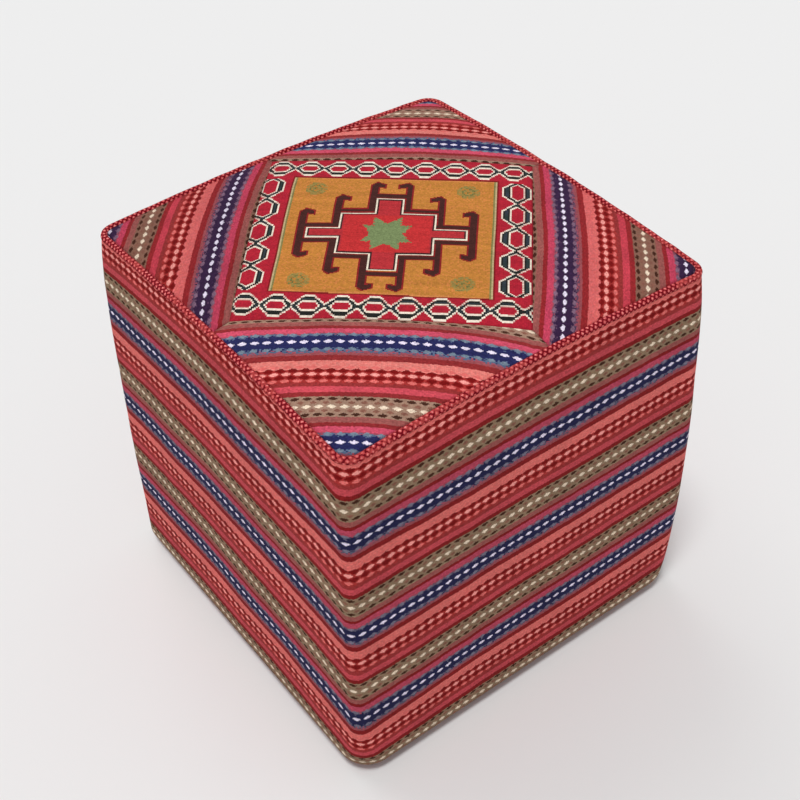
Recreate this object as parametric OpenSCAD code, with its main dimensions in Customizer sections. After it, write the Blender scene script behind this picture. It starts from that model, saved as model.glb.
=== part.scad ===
// Square upholstered pouf covered in striped flat-woven wool, with a patterned
// square panel set cornerwise in its top and a piped seam round the top edge.
// Millimetres. Z is up, the origin is on the floor under the middle of the
// base, and the four faces look along X and Y.

/* [Body] */
// Width of the covered body across opposite faces at its widest
body_w = 406; // [340:1:480]
// Height of the piped seam above the floor, at the corners
seam_h = 396; // [320:1:480]
// Rise of the top above the seam at its middle
crown_h = 12; // [6:0.5:20]
// Rise of the seam at the middle of each side above its corners
edge_lift = 6.5; // [0:0.5:8]
// Radius of the upright corners
corner_r = 26; // [18:1:34]
// Radius of the bottom edge
base_r = 12; // [8:1:18]
// Height of the widest line of the sides above the floor
belly_h = 100; // [70:1:160]
// How far the sides lean in between the widest line and the shoulder
lean_in = 4; // [1:0.5:8]
// How far the sides draw in between the widest line and the foot
foot_in = 0.5; // [0:0.5:3]

/* [Cover] */
// Thickness of the woven cloth
cloth_t = 2; // [1.2:0.1:3]
// Distance between the piping and the nearest corner of the square panel
panel_gap = 5; // [3:0.5:30]
// Distance of the panel's middle from the body's middle, towards the right face
panel_x = -8; // [-10:0.5:10]
// Distance of the panel's middle from the body's middle, towards the back
panel_y = 3; // [-10:0.5:10]
// Angle by which the panel is turned past 45 degrees
panel_turn = 3.6; // [-5:0.1:5]
// Width of the seam allowances turned inside along the piping
allowance = 10; // [7:0.5:14]
// Width of cloth folded under the base and fixed to the bottom rails
hem_w = 26; // [22:1:28]

/* [Piping] */
// Distance from the widest line of the sides in to the middle of the piping
pipe_inset = 12; // [8:0.5:16]
// Diameter of the filler cord inside the piping
cord_d = 3.8; // [3:0.1:6]
// Thickness of the strip of cloth that covers the filler cord
strip_t = 1.1; // [0.8:0.1:1.6]

/* [Padding] */
// Thickness of the wadding over the seat foam
wad_t = 8; // [5:0.5:12]
// Depth of the seat board below the piped seam
seat_depth = 50; // [40:1:70]
// Thickness of the side wadding where it turns round the frame's corners
corner_pad = 5.5; // [4:0.5:9]

/* [Frame] */
// Thickness of the hardboard on the four sides
board_t = 4; // [3:0.5:6]
// Thickness of the plywood seat board
seat_t = 12; // [9:1:18]
// Side of the square corner posts
post_w = 30; // [26:1:40]
// Thickness of the rails
rail_t = 20; // [16:1:24]
// Height of the rails
rail_h = 50; // [40:1:70]

/* [Base] */
// Diameter of the glides
glide_d = 22; // [16:1:28]
// Height of the glides under the base
glide_h = 4; // [3:0.5:8]
// Thickness of the dust cover cloth
dust_t = 0.8; // [0.6:0.1:1.2]
// Staples along each side of the dust cover
staples_per_side = 9; // [5:1:12]

/* [Fasteners] */
// Shank diameter of the wood screws
screw_d = 4; // [3.5:0.1:5]
// Length of the screws through the posts into the rails
frame_screw_l = 60; // [50:1:70]
// Length of the screws through the seat board
seat_screw_l = 40; // [30:1:50]
// Shank diameter of the pins that hold the side boards
pin_d = 1.6; // [1.2:0.1:2.5]
// Length of the pins that hold the side boards
pin_l = 16; // [12:1:20]

/* [Fit] */
// Clearance between soft pieces that lie on each other
fit_gap = 0.3; // [0.2:0.05:0.5]
// Clearance round screw and pin shanks
hole_gap = 0.25; // [0.15:0.05:0.5]

/* [Hidden] */

// Heights of the layers under the base, from the floor up
dust_z = glide_h;
hem_z = dust_z + dust_t + fit_gap;

// Half widths and heights of the body
half_w = body_w / 2;
foot_w = half_w - foot_in;
foot_z = hem_z + base_r;
hem_in = foot_w - base_r - hem_w + base_r / 2;
seat_top = seam_h - seat_depth;

// Inside of the band at its foot, and the square frame that fits its corners
inner_r = base_r - cloth_t;
inner_foot_w = foot_w - cloth_t;
cut = 1 - sqrt(0.5);
board_w = inner_foot_w - cut * (corner_r - (half_w - inner_foot_w)) - corner_pad * sqrt(0.5);
frame_w = board_w - board_t;
foam_w = frame_w - 2;

// Height at which a square corner, w from the middle, clears the inside of the
// band's rounded foot
function clear_z(w) = let (
    need = (w + 2 * fit_gap + cut * (corner_r - half_w)) / (1 - cut),
    turn = min(1, max(0, (need - foot_w + base_r) / inner_r)))
    foot_z - inner_r * sqrt(1 - turn * turn) + fit_gap;
wood_z = clear_z(frame_w);
rail_z = seat_top - seat_t - rail_h;
side_board_z = clear_z(board_w);

// Piped seam: middle of the piping, and the direction in which its strip runs
// down inside the cover
pipe_x = half_w - pipe_inset;
bore_r = cord_d / 2 + fit_gap;
pipe_r = bore_r + strip_t;
strip_tilt = 30;
flange_t = 2 * strip_t + fit_gap;
lip_near = flange_t / 2 + fit_gap / 2;
lip_far = max(pipe_r, lip_near + cloth_t);

// Segments of a ring: along a side and round a corner, outside and inside
side_n = 6;
turn_n = 5;
inner_side_n = 4;
inner_turn_n = 3;

// Point of the seam's section, s along the strip and o across it towards the
// middle of the top, as distance from the middle of the body and height
function seam_pt(s, o) = [
    pipe_x - s * sin(strip_tilt) - o * cos(strip_tilt),
    seam_h - s * cos(strip_tilt) + o * sin(strip_tilt)];

// Side profile: t is 0 at the widest line and 1 where the band meets the piping
shoulder = seam_pt(0, -pipe_r);
shoulder_in = half_w - shoulder.x - lean_in;
function profile_w(t) = half_w - lean_in * t * t - shoulder_in * pow(t, 8);
function profile_z(t) = belly_h + t * (shoulder.y - belly_h);
function profile_t(z) = max(0, z - belly_h) / (shoulder.y - belly_h);
function lift_share(t) = pow(t, 3);

// Top surface inside the piping
top_edge = seam_pt(0, pipe_r);
function lift(p) = edge_lift * (1 - pow(p.x * p.y / (pipe_x * pipe_x), 2));
function bulge(c) = 1 - pow(min(1, abs(c) / top_edge.x), 3);
function top_z(p) = top_edge.y + lift(p) + crown_h * bulge(p.x) * bulge(p.y);

function turned(p, q) = [for (k = [p])
    [k.x * cos(90 * q) - k.y * sin(90 * q), k.x * sin(90 * q) + k.y * cos(90 * q)]][0];
function mix(a, b, f) = a + (b - a) * f;
function flip(list) = [for (i = [len(list) - 1:-1:0]) list[i]];

// Corner radius of a ring that lies w from the middle, at least that of a fold
fold_r = 1.5;
function ring_r(w) = max(fold_r, corner_r - (half_w - w));

// Rounded square ring of points, w from the middle to each flat
function ring(w, r, ns, nt) = [for (q = [0:3]) each concat(
    [for (a = [0:nt]) turned([w - r + r * cos(90 * a / nt), w - r + r * sin(90 * a / nt)], q)],
    [for (s = [1:ns - 1]) turned([(w - r) * (1 - 2 * s / ns), w], q)])];

// The same ring in space: its height z rises with the seam by the share k
function ring3(w, z, k) =
    [for (p = ring(w, ring_r(w), side_n, turn_n)) [p.x, p.y, z + k * lift(p)]];
function inner_ring3(w, z, k, r = -1) =
    [for (p = ring(w, r < 0 ? ring_r(w) : r, inner_side_n, inner_turn_n))
        [p.x, p.y, z + k * lift(p)]];

// Ring on a surface that follows the top, drop below it
function crown_ring3(w, drop) =
    [for (p = ring(w, ring_r(w), inner_side_n, inner_turn_n)) [p.x, p.y, top_z(p) - drop]];

// Two triangles of a four-sided face, split from a to c or, turned, from b to d
function quad(a, b, c, d, turn = false) =
    turn ? [[b, c, d], [b, d, a]] : [[a, b, c], [a, c, d]];

// Closed loop of rings, as the skin of a band that goes all the way round: its
// outer rings from the foot up, and its inner rings beside them. Faces that lie
// on each other are split along the same corners.
module loop_of_rings(outside, inside) {
    rings = concat(outside, flip(inside));
    m = len(rings);
    n = len(rings[0]);
    polyhedron([for (r = rings) each r],
        [for (j = [0:m - 1]) for (i = [0:n - 1]) each quad(
            j * n + i,
            ((j + 1) % m) * n + i,
            ((j + 1) % m) * n + (i + 1) % n,
            j * n + (i + 1) % n,
            j >= len(outside))],
        convexity = 10);
}

// Pile of rings closed by a point at each end: the lower side's rings run from
// the rim to the middle, as the upper side's do
module pile_of_rings(low_middle, lower, upper, high_middle) {
    rings = concat(flip(lower), upper);
    m = len(rings);
    n = len(rings[0]);
    polyhedron(concat([low_middle], [for (r = rings) each r], [high_middle]),
        concat(
            [for (i = [0:n - 1]) [0, 1 + i, 1 + (i + 1) % n]],
            [for (j = [0:m - 2]) for (i = [0:n - 1]) each quad(
                1 + j * n + i,
                1 + (j + 1) * n + i,
                1 + (j + 1) * n + (i + 1) % n,
                1 + j * n + (i + 1) % n,
                j < len(lower))],
            [for (i = [0:n - 1])
                [m * n + 1, 1 + (m - 1) * n + (i + 1) % n, 1 + (m - 1) * n + i]]),
        convexity = 10);
}

// Row of sections, each a face chain and a back chain of the same length
module ribbon(faces, backs) {
    m = len(faces);
    h = len(faces[0]);
    n = 2 * h;
    sections = [for (i = [0:m - 1]) concat(faces[i], flip(backs[i]))];
    polyhedron([for (s = sections) each s],
        concat(
            [for (j = [0:m - 2]) for (i = [0:n - 1]) each quad(
                (j + 1) * n + i,
                (j + 1) * n + (i + 1) % n,
                j * n + (i + 1) % n,
                j * n + i,
                i >= h)],
            [for (i = [0:h - 2]) each quad(i, i + 1, n - 2 - i, n - 1 - i)],
            [for (i = [0:h - 2]) each quad(
                (m - 1) * n + n - 1 - i,
                (m - 1) * n + n - 2 - i,
                (m - 1) * n + i + 1,
                (m - 1) * n + i)]),
        convexity = 10);
}

// Corner q of the patterned panel, grown outwards by the distance g
panel_reach = (top_edge.x - panel_gap - max(abs(panel_x), abs(panel_y))) / cos(panel_turn);
panel_w = panel_reach * sqrt(2);
function panel_corner(q, g = 0) = let (reach = panel_reach + g * sqrt(2))
    [panel_x + reach * cos(90 * q + panel_turn), panel_y + reach * sin(90 * q + panel_turn)];

// Where the short seam from the panel's corner q meets the side, from its middle
function seam_at(q) = turned(panel_corner(q), -q).y;

// Patterned square panel, a crowned sheet of flat weave
panel_n = 10;
module kilim_panel() {
    grid = [for (i = [0:panel_n]) [for (j = [0:panel_n]) let (
        far = mix(panel_corner(3, -fit_gap / 2), panel_corner(2, -fit_gap / 2), i / panel_n),
        near = mix(panel_corner(0, -fit_gap / 2), panel_corner(1, -fit_gap / 2), i / panel_n))
        mix(far, near, j / panel_n)]];
    color("goldenrod")
        ribbon(
            [for (row = grid) [for (p = row) [p.x, p.y, top_z(p)]]],
            [for (row = grid) [for (p = row) [p.x, p.y, top_z(p) - cloth_t]]]);
}

// Part of a ring from the short seam at panel corner q round the body's corner
// to the next short seam, held back from both by half a seam
half_n = side_n / 2;
function quarter(w, q) = let (
    r = ring_r(w),
    start = seam_at(q) + fit_gap / 2,
    end = fit_gap / 2 - seam_at((q + 1) % 4)) [for (p = concat(
    [for (s = [0:half_n]) [w, mix(start, w - r, s / half_n)]],
    [for (a = [1:turn_n]) [w - r + r * cos(90 * a / turn_n), w - r + r * sin(90 * a / turn_n)]],
    [for (s = [1:half_n]) [mix(w - r, end, s / half_n), w]])) turned(p, q)];

// Face of an allowance that lies against the piping: round the cord's swelling,
// then along the strip. The side is 1 towards the top and -1 towards the band.
lip_s = sqrt(pow(pipe_r, 2) - pow(lip_near, 2)) + fit_gap;
function lip_points(side) = [
    seam_pt(pipe_r / 2, side * (pipe_r + fit_gap) * sin(60)),
    seam_pt(lip_s + fit_gap / 2, side * lip_near),
    seam_pt(allowance, side * lip_near)];

// Striped top piece at corner q: flat from the panel's edge to the piping, then
// turned down along the piping's strip
row_n = 5;
module top_piece(q) {
    lip = lip_points(1);
    lip_back = [
        seam_pt(lip_s, lip_far + fit_gap),
        seam_pt(lip_s + cloth_t, lip_far),
        seam_pt(allowance, lip_far)];
    outer = quarter(top_edge.x, q);
    last = len(outer) - 1;
    a = panel_corner(q, fit_gap / 2);
    b = panel_corner(q + 1, fit_gap / 2);
    step = fit_gap / panel_w;
    inner = [for (i = [0:last]) mix(a, b, mix(step, 1 - step, i / last))];
    color("firebrick")
        ribbon(
            [for (i = [0:last]) concat(
                [for (j = [0:row_n]) let (p = mix(inner[i], outer[i], j / row_n))
                    [p.x, p.y, top_z(p)]],
                [for (e = lip) let (p = quarter(e.x, q)[i]) [p.x, p.y, e.y + lift(p)]])],
            [for (i = [0:last]) concat(
                [for (j = [0:row_n]) let (
                    rim = quarter(top_edge.x - cloth_t * 0.6, q)[i],
                    p = mix(inner[i], rim, j / row_n))
                    [p.x, p.y, top_z(p) - cloth_t]],
                [for (e = lip_back) let (p = quarter(e.x, q)[i]) [p.x, p.y, e.y + lift(p)]])]);
}

// Side band: hem under the base, rounded foot, full sides drawn in at the
// shoulder, and the allowance turned down inside the piping
module side_band() {
    rise = [0, 0.42, 0.69, 0.85, 0.94];
    outside = concat(
        [[hem_in, hem_z, 0]],
        [for (a = [0:30:90]) [
            foot_w - base_r + base_r * sin(a), foot_z - base_r * cos(a), 0]],
        [for (t = rise) [profile_w(t), profile_z(t), lift_share(t)]],
        [[shoulder.x, shoulder.y, 1]],
        [for (e = lip_points(-1)) concat(e, [1])]);
    inside = concat(
        [[hem_in, hem_z + cloth_t, 0]],
        [for (a = [0:30:90]) [
            foot_w - base_r + (base_r - cloth_t) * sin(a),
            foot_z - (base_r - cloth_t) * cos(a), 0]],
        [for (t = rise) [profile_w(t) - cloth_t, profile_z(t), lift_share(t)]],
        [concat(seam_pt(lip_s / 2 + cloth_t / 2, -lip_far - fit_gap), [1])],
        [for (s = [lip_s, lip_s + 2 * cloth_t, allowance]) concat(seam_pt(s, -lip_far), [1])]);
    color("indianred")
        loop_of_rings(
            [for (e = outside) ring3(e.x, e.y, e.z)],
            [for (e = inside) ring3(e.x, e.y, e.z)]);
}

// Piping: a strip of cloth folded round the filler cord, both edges running
// down inside between the allowances
pipe_turns = [-120:60:120];
function round_pt(r, a) = seam_pt(-r * cos(a), -r * sin(a));
module piping_cover() {
    root = sqrt(pow(pipe_r, 2) - pow(flange_t / 2, 2));
    bore_root = sqrt(pow(bore_r, 2) - pow(fit_gap / 2, 2));
    outside = concat(
        [seam_pt(allowance, flange_t / 2), seam_pt(root, flange_t / 2)],
        [for (a = pipe_turns) round_pt(pipe_r, a)],
        [seam_pt(root, -flange_t / 2), seam_pt(allowance, -flange_t / 2)]);
    inside = concat(
        [seam_pt(allowance, fit_gap / 2), seam_pt(bore_root, fit_gap / 2)],
        [for (a = pipe_turns) round_pt(bore_r, a)],
        [seam_pt(bore_root, -fit_gap / 2), seam_pt(allowance, -fit_gap / 2)]);
    color("brown")
        loop_of_rings(
            [for (e = inside) ring3(e.x, e.y, 1)],
            [for (e = outside) ring3(e.x, e.y, 1)]);
}

// Filler cord inside the piping
module piping_cord() {
    color("ivory")
        loop_of_rings(
            [for (a = [300:-60:0]) let (e = round_pt(cord_d / 2, a)) ring3(e.x, e.y, 1)], []);
}

// Outline of the seat foam and its wadding at the shoulder, clear of the
// allowances: outer points of the wadding, then points of the foam
wad_shoulder = [
    seam_pt(allowance + 3, -lip_far - 3),
    seam_pt(allowance + 1.2, 0),
    seam_pt(allowance + 0.8, lip_far + 0.8),
    seam_pt(3.5, lip_far + 2.2)];
foam_top_w = foam_w - 14;
foam_shoulder = [
    [foam_w, seam_h - 20],
    [foam_w - 4, seam_h - 17.5],
    [foam_w - 8.5, seam_h - 14.5],
    [foam_top_w, seam_h - 11]];
wad_drop = cloth_t + 2 * fit_gap;
foam_drop = wad_drop + wad_t + fit_gap;
crown_steps = [0.78, 0.5, 0.22];

// Wadding pulled over the seat foam and down its sides to the side boards
module seat_wadding() {
    low = seat_top + fit_gap;
    mid = mix(low, seam_h - 20, 0.6);
    outside = concat(
        [for (z = [low, mid]) inner_ring3(
            profile_w(profile_t(z)) - cloth_t - 2 * fit_gap, z, 0)],
        [for (e = wad_shoulder) inner_ring3(e.x, e.y, 1)],
        [for (f = crown_steps) crown_ring3(top_edge.x * f, wad_drop)]);
    inside = concat(
        [for (z = [low, mid]) inner_ring3(foam_w + fit_gap, z, 0)],
        [for (e = foam_shoulder) inner_ring3(e.x + fit_gap, e.y + fit_gap, 1)],
        [for (f = crown_steps) crown_ring3(top_edge.x * f, wad_drop + wad_t)]);
    color("white")
        pile_of_rings(
            [0, 0, top_z([0, 0]) - wad_drop - wad_t], inside,
            outside, [0, 0, top_z([0, 0]) - wad_drop]);
}

// Crowned foam block on the seat board
module seat_foam() {
    rings = concat(
        [inner_ring3(foam_w, seat_top, 0)],
        [for (e = foam_shoulder) inner_ring3(e.x, e.y, 1)],
        [for (f = crown_steps) crown_ring3(top_edge.x * f, foam_drop)]);
    color("khaki")
        pile_of_rings([0, 0, seat_top], [], rings, [0, 0, top_z([0, 0]) - foam_drop]);
}

// Wadding between the side boards and the band, all the way round
module side_wadding() {
    out_r = inner_r - fit_gap;
    rise = [0, 0.42, 0.69, profile_t(seat_top)];
    outline = concat(
        [for (a = [30, 60, 90]) [
            foot_w - base_r + out_r * sin(a), foot_z - out_r * cos(a)]],
        [for (t = rise) [profile_w(t) - cloth_t - fit_gap, profile_z(t)]]);
    color("whitesmoke")
        loop_of_rings(
            [for (e = outline) inner_ring3(e.x, e.y, 0)],
            [for (e = outline) inner_ring3(board_w + fit_gap, e.y, 0, fit_gap)]);
}

// Countersunk wood screw with its head's face at z = 0, pointing down: head,
// shank through the first piece, then the thinner threaded length
head_d = 2 * screw_d;
head_h = screw_d / 2;
thread_d = screw_d * 0.9;
module screw(length, shank) {
    rotate_extrude($fn = 24)
        polygon([[0, 0], [head_d / 2, 0], [screw_d / 2, -head_h], [screw_d / 2, -shank],
            [thread_d / 2, -shank - 1], [thread_d / 2, 2 - length], [0, -length]]);
}

// Space that the screw needs, its head sunk below the face
sink = 0.6;
module screw_space(length, shank) {
    g = hole_gap;
    rotate_extrude($fn = 24)
        polygon([[0, 1], [head_d / 2 + g, 1], [head_d / 2 + g, -sink],
            [screw_d / 2 + g, -sink - head_h], [screw_d / 2 + g, -sink - shank - 1],
            [thread_d / 2 + g, -sink - shank - 1], [thread_d / 2 + g, -sink - length - 1],
            [0, -sink - length - 1]]);
}

// Middle line of the rails and posts, measured from the middle of the body
rail_c = frame_w - rail_t / 2;
post_c = frame_w - post_w / 2;

// Heights of the frame screws above a rail's lower edge: the rails that run
// along X take the outer pair and those along Y the inner pair
outer_pair = [0.16, 0.84];
inner_pair = [0.34, 0.66];

// Every frame screw's place, at post q, head outwards
module at_frame_screws(q) {
    sx = q == 0 || q == 3 ? 1 : -1;
    sy = q < 2 ? 1 : -1;
    for (z0 = [wood_z, rail_z]) {
        for (f = outer_pair)
            translate([sx * frame_w, sy * rail_c, z0 + f * rail_h])
                rotate([0, sx * 90, 0])
                    children();
        for (f = inner_pair)
            translate([sx * rail_c, sy * frame_w, z0 + f * rail_h])
                rotate([-sy * 90, 0, 0])
                    children();
    }
}

// Every seat screw's place, two over each top rail
seat_screw_at = 0.45;
module at_seat_screws() {
    for (q = [0:3])
        for (s = [-seat_screw_at, seat_screw_at])
            rotate(90 * q)
                translate([rail_c, s * frame_w, seat_top])
                    children();
}

module frame_screws() {
    color("gray")
        for (q = [0:3])
            at_frame_screws(q)
                translate([0, 0, -sink])
                    screw(frame_screw_l, post_w);
}

module seat_screws() {
    color("dimgray")
        at_seat_screws()
            translate([0, 0, -sink])
                screw(seat_screw_l, seat_t);
}

// Flat-headed pins through the side boards into the rails, heads sunk flush
pin_head_d = 2.6 * pin_d;
pin_head_t = 0.8;
pin_n = 4;
module at_board_pins(q) {
    for (z = [wood_z + rail_h / 2, rail_z + rail_h / 2])
        for (i = [0:pin_n - 1])
            rotate(90 * q)
                translate([board_w, mix(-0.72, 0.72, i / (pin_n - 1)) * frame_w, z])
                    rotate([0, 90, 0])
                        children();
}

module pin() {
    translate([0, 0, -pin_head_t])
        cylinder(h = pin_head_t, d = pin_head_d, $fn = 16);
    translate([0, 0, -pin_l])
        cylinder(h = pin_l - pin_head_t, d = pin_d, $fn = 16);
}

module pin_space() {
    translate([0, 0, -pin_head_t - hole_gap])
        cylinder(h = pin_head_t + hole_gap + 1, d = pin_head_d + 2 * hole_gap, $fn = 16);
    translate([0, 0, -pin_l - 1])
        cylinder(h = pin_l + 1, d = pin_d + 2 * hole_gap, $fn = 16);
}

module board_pins() {
    color("darkgray")
        for (q = [0:3])
            at_board_pins(q)
                pin();
}

// Glide place under post q
glide_c = post_c - 4;
module at_glide(q) {
    rotate(90 * q)
        translate([glide_c, glide_c, 0])
            children();
}

glide_pin_d = 2.4;
glide_pin_l = 18;

// Corner post q, drilled for the rails' screws and the glide's pin
module post(q) {
    color("burlywood")
        difference() {
            rotate(90 * q)
                translate([frame_w - post_w, frame_w - post_w, wood_z])
                    cube([post_w, post_w, seat_top - seat_t - wood_z]);
            at_frame_screws(q)
                screw_space(frame_screw_l, post_w);
            at_glide(q)
                cylinder(h = glide_h + glide_pin_l + 1, d = glide_pin_d + 2 * hole_gap, $fn = 16);
        }
}

// Rail on side q, with its lower edge at z0, between two posts
module rail(q, z0) {
    reach = frame_w - post_w;
    color("tan")
        difference() {
            rotate(90 * q)
                translate([frame_w - rail_t, -reach, z0])
                    cube([rail_t, 2 * reach, rail_h]);
            for (p = [q, (q + 3) % 4])
                at_frame_screws(p)
                    screw_space(frame_screw_l, post_w);
            at_board_pins(q)
                pin_space();
            if (z0 == rail_z)
                at_seat_screws()
                    screw_space(seat_screw_l, seat_t);
            if (z0 == wood_z)
                at_staples(q)
                    staple_space();
        }
}

// Plywood seat board on the posts and top rails
module seat_board() {
    color("wheat")
        difference() {
            translate([-frame_w, -frame_w, seat_top - seat_t])
                cube([2 * frame_w, 2 * frame_w, seat_t]);
            at_seat_screws()
                screw_space(seat_screw_l, seat_t);
        }
}

// Hardboard on side q: the right and left boards cover the edges of the others
module side_board(q) {
    reach = q % 2 == 0 ? board_w : frame_w;
    color("peru")
        difference() {
            rotate(90 * q)
                translate([frame_w, -reach, side_board_z])
                    cube([board_t, 2 * reach, seat_top - side_board_z]);
            at_board_pins(q)
                pin_space();
        }
}

// Staples through the dust cover into the bottom rails, inside the hem
staple_w = 10;
staple_t = 0.7;
staple_leg = 6;
staple_c = mix(frame_w - rail_t, hem_in, 0.5);
module at_staples(q) {
    reach = frame_w - post_w - staple_w;
    for (i = [0:staples_per_side - 1])
        rotate(90 * q)
            translate([staple_c, mix(-reach, reach, i / (staples_per_side - 1)), dust_z])
                children();
}

module staple() {
    translate([-staple_t / 2, -staple_w / 2, -staple_t])
        cube([staple_t, staple_w, staple_t]);
    for (s = [-1, 1])
        translate([-staple_t / 2, s * (staple_w - staple_t) / 2 - staple_t / 2, 0])
            cube([staple_t, staple_t, staple_leg]);
}

module staple_space() {
    wide = staple_t + hole_gap;
    for (s = [-1, 1])
        translate([-wide / 2, s * (staple_w - staple_t) / 2 - wide / 2, -1])
            cube([wide, wide, staple_leg + 1.5]);
}

module dust_cover_staples() {
    color("silver")
        for (q = [0:3])
            at_staples(q)
                staple();
}

// Non-woven dust cover over the opening of the base and the edge of the hem
dust_w = (hem_in + foot_w - base_r) / 2;
dust_r = 8;
module dust_cover() {
    color("dimgray")
        difference() {
            translate([0, 0, dust_z])
                linear_extrude(dust_t)
                    hull()
                        for (sx = [-1, 1], sy = [-1, 1])
                            translate([sx * (dust_w - dust_r), sy * (dust_w - dust_r)])
                                circle(dust_r, $fn = 32);
            for (q = [0:3]) {
                at_staples(q)
                    staple_space();
                at_glide(q)
                    cylinder(h = 2 * glide_h, d = glide_pin_d + 2 * hole_gap, $fn = 16);
            }
        }
}

// Nail-on glide: a rounded disc with its pin driven up into the post
glide_edge = 1;
module glide(q) {
    color("saddlebrown")
        at_glide(q) {
            rotate_extrude($fn = 48)
                polygon([[0, 0], [glide_d / 2 - glide_edge, 0], [glide_d / 2, glide_edge],
                    [glide_d / 2, glide_h], [0, glide_h]]);
            translate([0, 0, glide_h])
                cylinder(h = glide_pin_l, d = glide_pin_d, $fn = 16);
        }
}

kilim_panel();
top_piece(0);  // top_piece_back_right
top_piece(1);  // top_piece_back_left
top_piece(2);  // top_piece_front_left
top_piece(3);  // top_piece_front_right
side_band();
piping_cover();
piping_cord();
seat_wadding();
seat_foam();
side_wadding();
seat_board();
side_board(0);  // side_board_right
side_board(1);  // side_board_back
side_board(2);  // side_board_left
side_board(3);  // side_board_front
post(0);  // post_back_right
post(1);  // post_back_left
post(2);  // post_front_left
post(3);  // post_front_right
rail(0, rail_z);  // top_rail_right
rail(1, rail_z);  // top_rail_back
rail(2, rail_z);  // top_rail_left
rail(3, rail_z);  // top_rail_front
rail(0, wood_z);  // bottom_rail_right
rail(1, wood_z);  // bottom_rail_back
rail(2, wood_z);  // bottom_rail_left
rail(3, wood_z);  // bottom_rail_front
frame_screws();
seat_screws();
board_pins();
dust_cover();
dust_cover_staples();
glide(0);  // glide_back_right
glide(1);  // glide_back_left
glide(2);  // glide_front_left
glide(3);  // glide_front_right
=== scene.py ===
import math

import bpy
import numpy as np
from mathutils import Matrix, Vector, noise


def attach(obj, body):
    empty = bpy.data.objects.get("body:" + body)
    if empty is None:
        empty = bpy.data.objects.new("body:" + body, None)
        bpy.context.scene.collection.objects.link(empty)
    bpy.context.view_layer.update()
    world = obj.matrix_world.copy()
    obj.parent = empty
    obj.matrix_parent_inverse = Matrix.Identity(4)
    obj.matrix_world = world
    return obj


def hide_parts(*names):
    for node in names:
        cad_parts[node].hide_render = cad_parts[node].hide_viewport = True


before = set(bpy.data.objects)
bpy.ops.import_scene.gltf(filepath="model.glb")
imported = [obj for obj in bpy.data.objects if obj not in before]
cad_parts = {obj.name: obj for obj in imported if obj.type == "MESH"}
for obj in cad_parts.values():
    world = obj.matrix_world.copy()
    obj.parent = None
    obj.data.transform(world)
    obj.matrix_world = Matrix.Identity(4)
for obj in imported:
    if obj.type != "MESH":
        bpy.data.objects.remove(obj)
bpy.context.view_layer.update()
scene = bpy.context.scene
scene.view_settings.view_transform = "Standard"

# The view
#
# The camera stands where the photograph was taken from: before the corner
# between the front and right faces, looking down on the top, and held a
# little out of level.
view_azimuth = math.radians(53.736)
view_elevation = math.radians(41.913)
view_roll = math.radians(-1.467)
view_distance = 1.26398
view_middle = Vector((0.034412, -0.023344, 0.258204))
sensor = 36.0
picture_px = 800
focal_px = 1362.483
nearest = 0.05
farthest = 50.0

back = Vector((math.sin(view_azimuth) * math.cos(view_elevation),
               -math.cos(view_azimuth) * math.cos(view_elevation),
               math.sin(view_elevation)))
level = Vector((math.cos(view_azimuth), math.sin(view_azimuth), 0.0))
upright = back.cross(level)
right = level * math.cos(view_roll) + upright * math.sin(view_roll)
up = upright * math.cos(view_roll) - level * math.sin(view_roll)
eye = view_middle + back * view_distance
lens = bpy.data.cameras.new("camera")
lens.sensor_width = sensor
lens.lens = focal_px * sensor / picture_px
lens.clip_start = nearest
lens.clip_end = farthest
camera = bpy.data.objects.new("camera", lens)
scene.collection.objects.link(camera)
camera.matrix_world = Matrix([(right[i], up[i], back[i], eye[i]) for i in range(3)]
                             + [(0.0, 0.0, 0.0, 1.0)])
scene.camera = camera

# Floor and daylight
#
# A pale seamless floor under an even overcast light. A broad lamp overhead
# lights the top, and a softer one on the left lays the shadow to the right.
# Each lamp is given by its strength, its breadth and its turn.
sky_light = 0.42
overhead_lamp = (1.45, math.radians(14), (math.radians(16), 0.0, math.radians(33)))
left_lamp = (0.57, math.radians(44), (math.radians(40), 0.0, math.radians(-88)))
floor_grey = 0.855
floor_side = 14000
floor_gap = 0.5


def maths(operation):
    """An operator or method that adds one Math node."""
    def worked(shade, *others):
        return shade.node("Math", {"operation": operation}, dict(enumerate((shade,) + others)))
    return worked


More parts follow.
